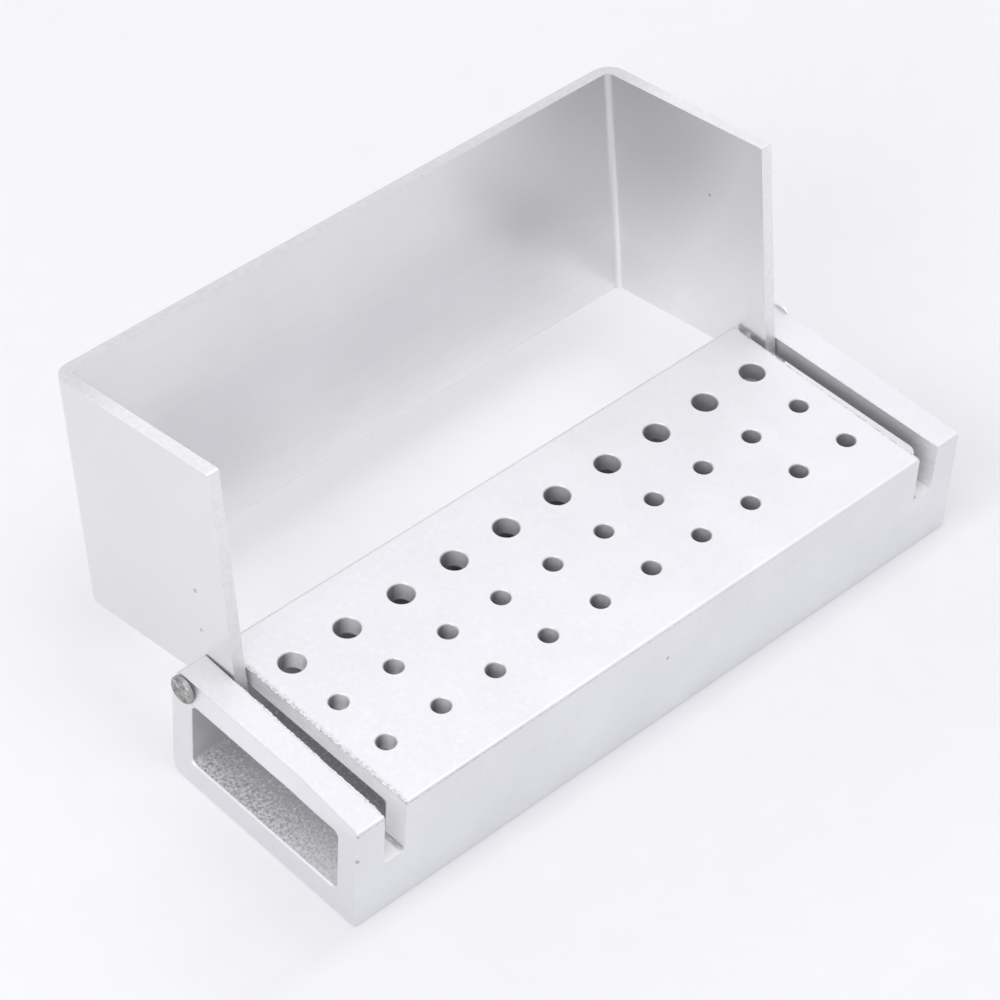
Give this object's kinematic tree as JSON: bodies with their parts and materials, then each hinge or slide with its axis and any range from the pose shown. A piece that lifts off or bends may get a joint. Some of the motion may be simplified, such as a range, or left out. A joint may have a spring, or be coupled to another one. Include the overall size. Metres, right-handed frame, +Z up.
{
  "type": "dental bur block",
  "caption": "Hollow rectangular metal block with rows of drilled holes for upright bur shanks and a bent sheet cover that swings over it on end pins.",
  "frame": {"origin": "middle of the block's flat underside", "axes": "+X along the block's length, +Y from the front face to the hinge side, +Z up through the holes"},
  "size_m": [0.0766, 0.0457, 0.0345],
  "materials": {
    "block_metal": "fine blasted satin",
    "cover_metal": "smooth satin",
    "pin_metal": "plain steel"
  },
  "bodies": {
    "base": {"block": "block_metal", "left_pin": "pin_metal", "right_pin": "pin_metal"},
    "lid": {"cover": "cover_metal"}
  },
  "joints": [
    {"name": "cover_hinge", "type": "hinge", "parent": "base", "child": "lid", "pos_m": [0, 0.01095, 0.0113], "axis": [1, 0, 0], "range_deg": [-21, 98.8]}
  ]
}
